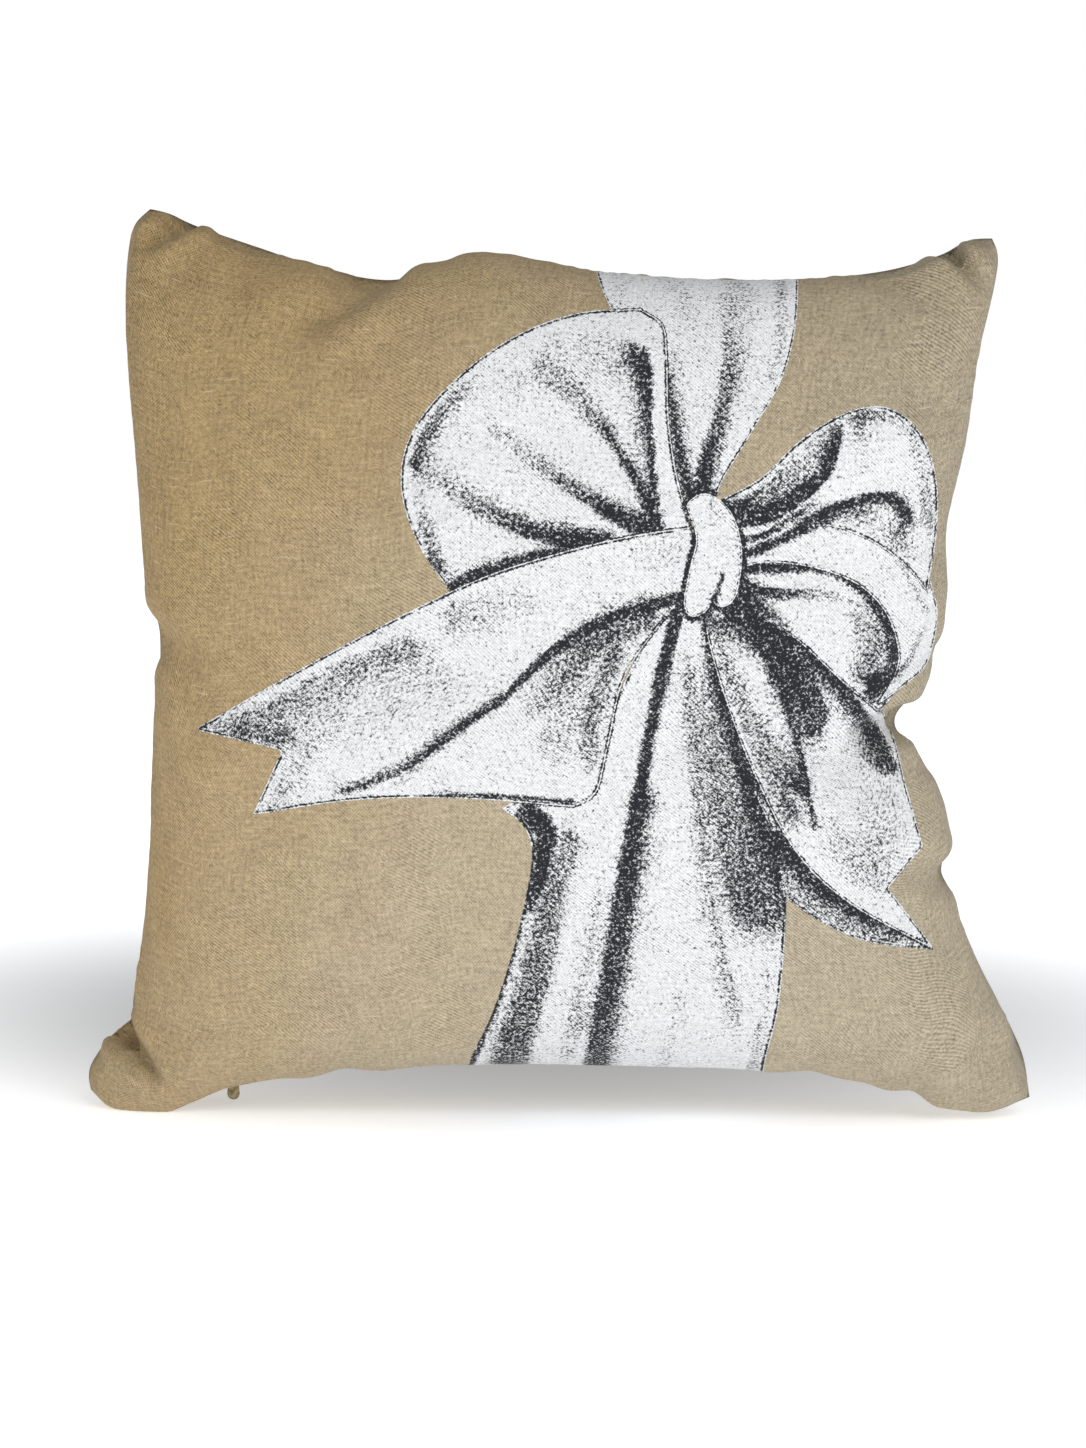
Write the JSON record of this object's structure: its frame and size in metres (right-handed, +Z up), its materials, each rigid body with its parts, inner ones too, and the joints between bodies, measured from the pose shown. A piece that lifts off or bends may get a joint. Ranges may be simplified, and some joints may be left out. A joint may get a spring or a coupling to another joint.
{
  "type": "ring bearer pillow",
  "caption": "Square stuffed linen pillow with a large printed ribbon bow, drawn-out corners, and a cover closed by a concealed zip along the bottom seam.",
  "frame": {"origin": "bottom centre of the bounding box: on the floor, under the middle of the pillow, in the seam plane", "axes": "+Z up, the printed front faces -Y, +X to the right when looking at the front"},
  "size_m": [0.448, 0.1671, 0.434],
  "materials": {
    "linen": "matte natural linen, plain weave with slubs",
    "print_ink": "matte opaque screen print, white with black shading",
    "thread": "matte spun sewing thread",
    "zip_tape": "matte woven polyester tape",
    "zip_coil": "satin nylon monofilament",
    "zip_metal": "aged brass plate, satin",
    "casing": "matte bleached cotton",
    "stuffing": "matte fibre"
  },
  "bodies": {
    "pillow": {"cover_front_panel": "linen", "cover_back_panel": "linen", "bow_print": "print_ink", "cover_seam_thread": "thread", "zip_tape_front": "zip_tape", "zip_tape_back": "zip_tape", "zip_coil_front": "zip_coil", "zip_coil_back": "zip_coil", "zip_stitch_front": "thread", "zip_stitch_back": "thread", "zip_top_stop_front": "zip_metal", "zip_top_stop_back": "zip_metal", "zip_bottom_stop": "zip_metal", "insert_front_panel": "casing", "insert_back_panel": "casing", "insert_seam_thread": "thread", "insert_stuffing": "stuffing"},
    "slider": {"slider_body": "zip_metal"},
    "ring": {"pull_ring": "zip_metal"},
    "tab": {"pull_tab": "zip_metal"}
  },
  "joints": [
    {"name": "zip_slide", "type": "slide", "parent": "pillow", "child": "slider", "axis": [1, 0, 0], "range_m": [0, 0.311]},
    {"name": "ring_swing", "type": "hinge", "parent": "slider", "child": "ring", "pos_m": [-0.154, 0, 0.023], "axis": [0, 1, 0], "range_deg": [-45, 45]},
    {"name": "tab_swing", "type": "hinge", "parent": "ring", "child": "tab", "pos_m": [-0.154, 0, 0.0166], "axis": [0, 1, 0], "range_deg": [-45, 45]}
  ]
}
